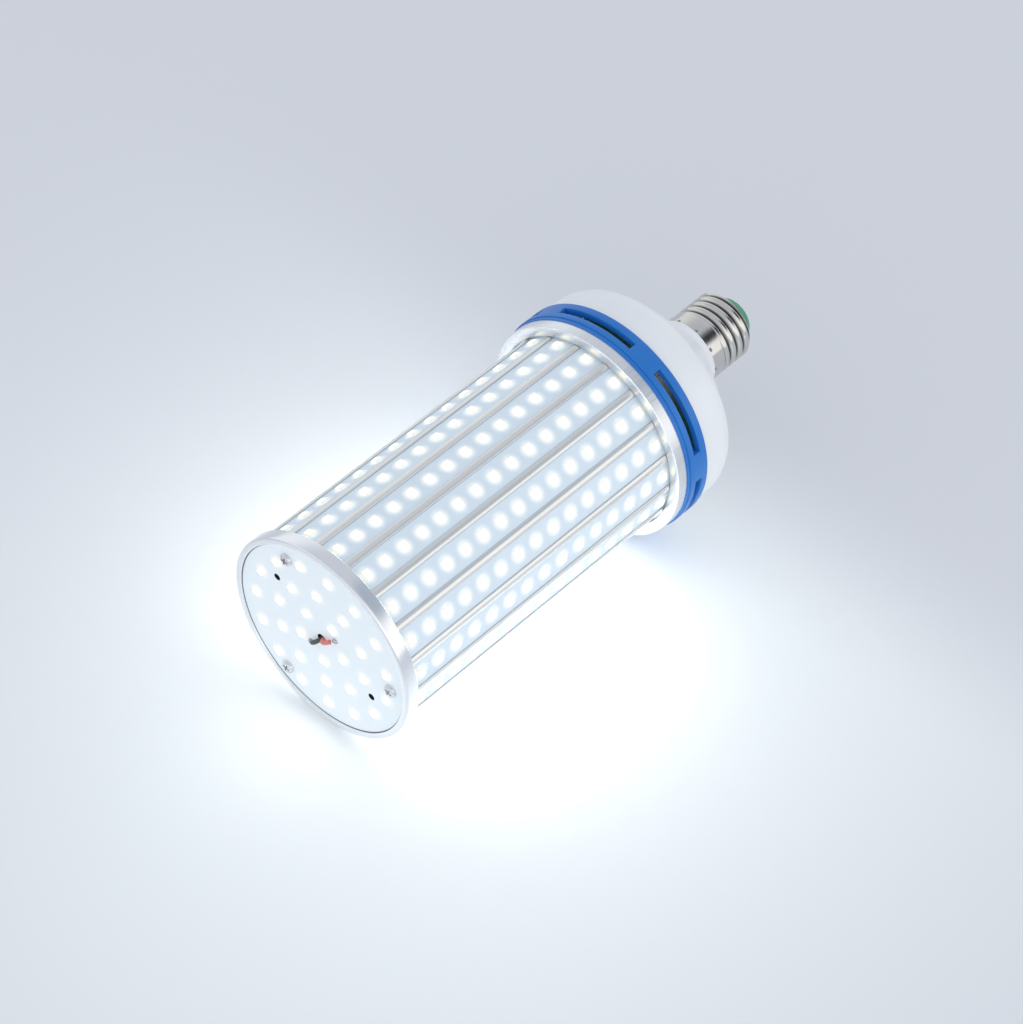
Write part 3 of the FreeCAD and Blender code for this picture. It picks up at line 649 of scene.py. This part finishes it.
# Driver housing
# A white moulded dome with a cylindrical skirt, a rounded shoulder and a neck that flares into the cap.
# The plastic is satin, with a faint moulded texture.
housing_plastic = finish("white_moulded_plastic")
x, y, z = housing_plastic.place()
pebble = housing_plastic.noise(housing_plastic.vector(x * 1400, y * 1400, z * 1400), 1.0, 2.0)
drift = housing_plastic.noise(housing_plastic.vector(x * 40, y * 40, z * 40), 1.0, 2.0)
housing_plastic.set(
    Base_Color=housing_plastic.blend(drift, rgb(240, 243, 248), rgb(247, 249, 251)),
    Roughness=housing_plastic.fade(pebble, 0.3, 0.7, 0.34, 0.42),
    Normal=housing_plastic.bump(pebble, 0.03 * mm, 0.3),
    Subsurface_Weight=0.08,
    Subsurface_Scale=4.0 * mm,
)
housing_radius = 42.6 * mm
housing_wall = 2.0 * mm
shoulder_radius = 7.5 * mm
flare_radius = 12.0 * mm
cone_angle = math.radians(50.5)
neck_angle = math.radians(18)
neck_radius = 13.75 * mm
neck_bore = 10.8 * mm
neck_break = 0.3 * mm
flare_share = 0.999


def dome_corners(radius, neck):
    """Where the cone of a dome would meet its skirt and its neck if both corners were sharp."""
    slope = math.tan(cone_angle)
    half_turn = (cone_angle - neck_angle) / 2
    neck_run = flare_radius * math.tan(half_turn)
    low = (-neck_run * math.cos(neck_angle), neck + neck_run * math.sin(neck_angle))
    high = (low[0] - (radius - low[1]) / slope, radius)
    return high, low, neck_run


shoulder, flare, flare_run = dome_corners(housing_radius, neck_radius)
inner_shoulder, inner_flare, _ = dome_corners(housing_radius - housing_wall, neck_bore)
housing = turned([
    (vent_high.x, housing_radius - housing_wall),
    (vent_high.x, housing_radius),
    shoulder,
    flare,
    (0, neck_radius),
    (0, neck_bore),
    inner_flare,
    inner_shoulder,
])
round_over(housing, *shoulder, shoulder_radius * math.tan(cone_angle / 2), 16)
round_over(housing, *flare, flare_run * flare_share, 14)
round_over(housing, *inner_shoulder, (shoulder_radius - housing_wall) * math.tan(cone_angle / 2), 8)
round_over(housing, 0, neck_radius, neck_break, 3)
add_piece("driver_housing_moulded", housing, [housing_plastic], "driver_housing")


# Screw shell
# The cap's shell is drawn from thin brass, rolled with the round thread and plated with nickel.
# The groove runs out into the plain collar, which is staked to the housing.
nickel = finish("nickel_plate")
x, y, z = nickel.place()
roll_lines = nickel.noise(nickel.vector(x * 2500, y * 30, z * 30), 1.0, 2.0)
tarnish = nickel.noise(nickel.vector(x * 90, y * 90, z * 90), 1.0, 4.0)
collar_length = 6.5 * mm
collar_radius = 13.4 * mm
thread_pitch = 3.63 * mm
thread_start = 2.0 * mm
groove_start = collar_length - 0.2 * mm
groove_full = collar_length + 0.8 * mm
stake_count = 10
stake_step = 2 * math.pi / stake_count
stake_phase = math.radians(14)
stake_station = 0.9 * mm
stake_radius = 0.9 * mm
stake_core = 0.1 * mm
# The stake dents: pressed in by the bump, and painted darker in the colour as shade.
stake_angle = (y * -1).math("ARCTAN2", z) - stake_phase
stake_across = stake_angle.math("WRAP", stake_step / 2, -stake_step / 2) * collar_radius
stake_along = x - stake_station
stake_reach = (stake_across * stake_across + stake_along * stake_along).math("SQRT")
stake_dent_and_shade = nickel.fade(stake_reach, stake_radius, stake_core)
thread_angle = (x - thread_start) * (2 * math.pi / thread_pitch) - (y * -1).math("ARCTAN2", z)
# Painted shade: the thread's grooves are painted dark, fading out where the groove runs into the collar.
groove_shade = nickel.fade(thread_angle.math("COSINE"), 0.1, 1.0)
groove_shade = groove_shade * nickel.fade(x, groove_start, groove_full)
plate = nickel.blend(tarnish, rgb(200, 198, 193), rgb(224, 222, 218))
# The plate is blended to dark grey as painted shade in the grooves and in the stake dents.
nickel.set(
    Base_Color=nickel.blend(groove_shade.math("MAXIMUM", stake_dent_and_shade * 0.8), plate, rgb(74, 74, 72)),
    Metallic=1.0,
    Roughness=nickel.fade(roll_lines, 0.2, 0.8, 0.1, 0.2),
    Normal=nickel.bump(roll_lines * 0.06 - stake_dent_and_shade, 0.4 * mm),
)
shell_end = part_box("screw_shell")[1].x
crest_radius = 13.2 * mm
root_radius = 12.0 * mm
lip_radius = 10.5 * mm
end_rounding = 1.0 * mm
thread_end = shell_end - end_rounding
runout_length = 1.2 * mm
runout_start = collar_length - runout_length
runout_lead = 0.5 * mm
groove_sharpness = 1.7
pitch_points = 12
turn_steps = 72
spare_turns = 3
turns = math.ceil((shell_end - collar_length) / thread_pitch) + spare_turns
shell = bmesh.new()
line = [shell.verts.new((thread_pitch * share / pitch_points, 0, crest_radius))
        for share in range(pitch_points + 1)]
edges = [shell.edges.new(pair) for pair in zip(line, line[1:])]
bmesh.ops.spin(shell, geom=line + edges, cent=(0, 0, 0), axis=(1, 0, 0),
               dvec=(thread_pitch / turn_steps, 0, 0), angle=2 * math.pi * turns,
               steps=turn_steps * turns)
bmesh.ops.translate(shell, verts=shell.verts, vec=(collar_length - spare_turns * thread_pitch, 0, 0))
bmesh.ops.remove_doubles(shell, verts=shell.verts, dist=1e-6)
for start, clear_outer in ((runout_start, False), (thread_end, True)):
    bmesh.ops.bisect_plane(shell, geom=shell.verts[:] + shell.edges[:] + shell.faces[:], dist=1e-7,
                           plane_co=(start, 0, 0), plane_no=(1, 0, 0),
                           clear_outer=clear_outer, clear_inner=not clear_outer)
for vert in shell.verts:
    turn_angle = math.atan2(-vert.co.y, vert.co.z)
    phase = (vert.co.x - thread_start) / thread_pitch - turn_angle / (2 * math.pi)
    depth = (0.5 + 0.5 * math.cos(2 * math.pi * phase)) ** groove_sharpness
    run_in = min(max((vert.co.x - collar_length + runout_lead) / (0.5 * thread_pitch), 0), 1)
    radius = crest_radius - (crest_radius - root_radius) * depth * run_in * run_in * (3 - 2 * run_in)
    vert.co.yz = vert.co.yz.normalized() * radius


def open_rim(mesh, station):
    """The open edges of a mesh at a station."""
    return [edge for edge in mesh.edges
            if edge.is_boundary and all(abs(vert.co.x - station) < 1e-6 for vert in edge.verts)]


collar_rim = open_rim(shell, runout_start)
cap_end = open_rim(shell, thread_end)
collar = bmesh.ops.extrude_edge_only(shell, edges=collar_rim)["geom"]
collar_verts = [item for item in collar if isinstance(item, bmesh.types.BMVert)]
for vert in collar_verts:
    vert.co.x = 0
    vert.co.yz = vert.co.yz.normalized() * collar_radius
curled_end = (
    (thread_end + 0.7 * end_rounding, root_radius - 0.3 * end_rounding),
    (shell_end, root_radius - end_rounding),
    (shell_end, lip_radius),
    (thread_end, lip_radius),
)
for station, radius in curled_end:
    step = bmesh.ops.extrude_edge_only(shell, edges=cap_end)["geom"]
    cap_end = [item for item in step if isinstance(item, bmesh.types.BMEdge) and item.is_boundary]
    for vert in {vert for edge in cap_end for vert in edge.verts}:
        vert.co.x = station
        vert.co.yz = vert.co.yz.normalized() * radius
bmesh.ops.recalc_face_normals(shell, faces=shell.faces)
add_piece("screw_shell_rolled", shell, [nickel], "screw_shell", smooth=50)


# Cap insulator and centre contact
# A green glazed cone closes the shell's end, and carries the plated contact that meets the holder.
# Both are seated by the shell's curled lip.
glaze = finish("green_glaze")
glaze.set(Base_Color=rgb(48, 150, 104), Roughness=0.25)
cone_low, cone_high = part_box("cap_insulator")
cone_seat = 10.3 * mm
cone_tip = 7.8 * mm
cone_rounding = 0.8 * mm
lead_bore = 0.9 * mm
insulator = turned([
    (cone_low.x, lead_bore),
    (cone_low.x, cone_seat),
    (shell_end, cone_seat),
    (cone_high.x, cone_tip),
    (cone_high.x, lead_bore),
], 96)
round_over(insulator, cone_high.x, cone_tip, cone_rounding, 5)
add_piece("cap_insulator_glazed", insulator, [glaze], "cap_insulator")
add_piece("centre_contact_smooth", merged("centre_contact"), [nickel], "centre_contact")


# Floor
# A plain pale sheet that the bulb lies on: the front ring and the vent ring's front edge touch it.
# The lit rows throw a wide soft glow on it: their lamps give part of it, and the rest is painted into
# the floor as emission, which fades out below the cap.
floor_half = 8.0
floor_tilt = math.atan2(vent_radius - ring_radius, rim_end - ring_low.x)
floor = bmesh.new()
bmesh.ops.create_grid(floor, x_segments=1, y_segments=1, size=floor_half)
bmesh.ops.rotate(floor, verts=floor.verts, cent=(0, 0, 0), matrix=Matrix.Rotation(floor_tilt, 3, "Y"))
bmesh.ops.translate(floor, verts=floor.verts, vec=(rim_end, 0, -vent_radius))
floor_data = bpy.data.meshes.new("floor")
floor.to_mesh(floor_data)
floor.free()
floor_object = bpy.data.objects.new("floor", floor_data)
bpy.context.scene.collection.objects.link(floor_object)
paper = finish("floor_paper")
glow_front = -204 * mm
glow_rear = -54 * mm
glow_side = -38 * mm
glow_reach = 185 * mm
glow_full = -50 * mm
glow_end = 36 * mm
x, y, z = paper.place()
# Painted light: a glow in the floor's emission, strongest along the bulb's lit length and fading out
# towards the cap.
along = x - x.math("MAXIMUM", glow_front).math("MINIMUM", glow_rear)
across = y - glow_side
spread = (along * along + across * across) / (glow_reach * glow_reach)
glow = (spread * -1).math("EXPONENT") * paper.fade(x, glow_end, glow_full)
paper.set(
    Base_Color=rgb(232, 234, 238),
    Roughness=0.9,
    Specular_IOR_Level=0.1,
    Emission_Color=paper.blend(glow, unlit, rgb(240, 255, 246)),
    Emission_Strength=0.18,
)
floor_data.materials.append(paper.material)


# Studio light
# A pale tent with a greyer top and one large soft lamp, and lamps over the LEDs that light the floor.
# A dark card, which only reflections show, gives the bright metal of the cap its dark streak.
world = bpy.data.worlds.new("studio")
world.use_nodes = True
bpy.context.scene.world = world
sky = Shading(world.node_tree, "Background")
ray = sky.node("ShaderNodeTexCoord")


def sky_patch(aim, edge, core, strength):
    """A soft round patch of the sky: where it is, and the angles at its edge and its core."""
    toward = sky.node("ShaderNodeVectorMath", {"operation": "DOT_PRODUCT"}, {0: ray, 1: aim}, output=1)
    return sky.fade(toward, math.cos(math.radians(edge)), math.cos(math.radians(core)), 0.0, strength)


gap_aim = Vector((0.51, -0.42, 0.75)).normalized()
lens_aim = Vector((-0.5125, -0.4396, 0.7375))
dark = sky_patch(gap_aim, 24, 8, 1.0).math("MAXIMUM", sky_patch(lens_aim, 24, 6, 0.2))
sideways = sky.node("ShaderNodeSeparateXYZ", None, {0: ray}, output=1)
upward = sky.node("ShaderNodeSeparateXYZ", None, {0: ray}, output=2)
wall = sky.blend(sky.fade(sideways, 0.5, -0.4), rgb(226, 229, 233), rgb(255, 255, 255))
tent = sky.blend(sky.fade(upward, 0.3, 0.75), wall, rgb(190, 194, 202))
sky.set(Color=sky.blend(dark, tent, rgb(158, 168, 180)), Strength=1.2)


def add_lamp(name, kind, energy, place, **shape):
    """A lamp in its place, with the settings of its shape."""
    light = bpy.data.lights.new(name, kind)
    light.energy = energy
    for setting, value in shape.items():
        setattr(light, setting, value)
    lamp = bpy.data.objects.new(name, light)
    lamp.matrix_world = place
    bpy.context.scene.collection.objects.link(lamp)
    return lamp


bulb_middle = Vector((-0.1, 0, 0))
key_energy = 1.2
key_size = 1.2
key_place = Vector((-0.5, -1.2, 0.9))
key_turn = (key_place - bulb_middle).to_track_quat("Z", "Y").to_matrix().to_4x4()
add_lamp("key", "AREA", key_energy, Matrix.Translation(key_place) @ key_turn, size=key_size)

row_energy = 0.0115
row_width = 8.0 * mm
row_setback = 10 * mm
row_length = led_high.x - led_low.x - row_setback
row_middle = (led_low.x + led_high.x - row_setback) / 2
outward = Matrix.Translation((row_middle, 0, rib_top)) @ Matrix.Rotation(math.pi, 4, "X")
for number in range(strip_count):
    around = Matrix.Rotation(number * strip_step, 4, "X")
    row_lamp = add_lamp(f"row_{number + 1:02d}", "AREA", row_energy, around @ outward,
                        shape="RECTANGLE", size=row_length, size_y=row_width)
    row_lamp.visible_camera = False

front_energy = 0.013
front_size = 66 * mm
front_clearance = 2.0 * mm
forward = Matrix.Rotation(math.radians(90), 4, "Y")
front_place = Matrix.Translation((ring_low.x - front_clearance, 0, 0)) @ forward
front_lamp = add_lamp("front_rows", "AREA", front_energy, front_place, shape="DISK", size=front_size)
front_lamp.visible_camera = False

vent_energy = 0.018
vent_glow_radius = 5 * mm
vent_place = Matrix.Translation(((vent_low.x + vent_high.x) / 2, 0, 0))
vent_lamp = add_lamp("vent_inside", "POINT", vent_energy, vent_place, shadow_soft_size=vent_glow_radius)
vent_lamp.visible_camera = False

card_aim = Vector((0.51, -0.474, 0.725)).normalized()
card_along = (Vector((1, 0, 0)) - card_aim.x * card_aim).normalized()
card_side = card_aim.cross(card_along)
card_distance = 100 * mm
card_shift = 25 * mm
card_length = 110 * mm
card_width = 80 * mm
card_edge = 38 * mm
card_core = 6 * mm
cap_middle = Vector((14 * mm, 0, 0))
card_place = cap_middle + card_distance * card_aim + card_shift * card_along
dark_card = finish("dark_card")
x, y, z = dark_card.place()
offset = x * card_side.x + y * card_side.y + z * card_side.z - card_place.dot(card_side)
dark_card.set(
    Base_Color=rgb(64, 65, 68),
    Roughness=1.0,
    Alpha=dark_card.fade(offset.math("ABSOLUTE"), card_edge, card_core),
)
card = bmesh.new()
bmesh.ops.create_grid(card, x_segments=1, y_segments=1, size=0.5)
card_turn = Matrix((card_along, card_side, card_aim)).transposed().to_4x4()
card_size = Matrix.Diagonal((card_length, card_width, 1.0, 1.0))
card_matrix = Matrix.Translation(card_place) @ card_turn @ card_size
bmesh.ops.transform(card, verts=card.verts, matrix=card_matrix)
card_object = bare_object("dark_card", card)
card_object.data.materials.append(dark_card.material)
card_object.visible_camera = False
card_object.visible_diffuse = False
card_object.visible_shadow = False


# Camera
# It looks down on the bulb's front and side from the photograph's angle.
# Its place and focal length are fitted to that, with no shift and no depth of field.
camera_data = bpy.data.cameras.new("camera")
focal_pixels = 3486.13
picture_height = 1024
camera_data.sensor_width = 36.0
camera_data.lens = focal_pixels * camera_data.sensor_width / picture_height
camera = bpy.data.objects.new("camera", camera_data)
camera_place = Vector((-0.7122, -0.5320, 0.8812))
camera_right = Vector((0.6744, -0.7379, 0.0287))
camera_up = Vector((0.5316, 0.5122, 0.6745))
camera_back = Vector((-0.5125, -0.4396, 0.7375))
turn = Matrix((camera_right, camera_up, camera_back)).transposed().to_4x4()
camera.matrix_world = Matrix.Translation(camera_place) @ turn
bpy.context.scene.collection.objects.link(camera)
bpy.context.scene.camera = camera
bpy.context.scene.view_settings.view_transform = "Standard"
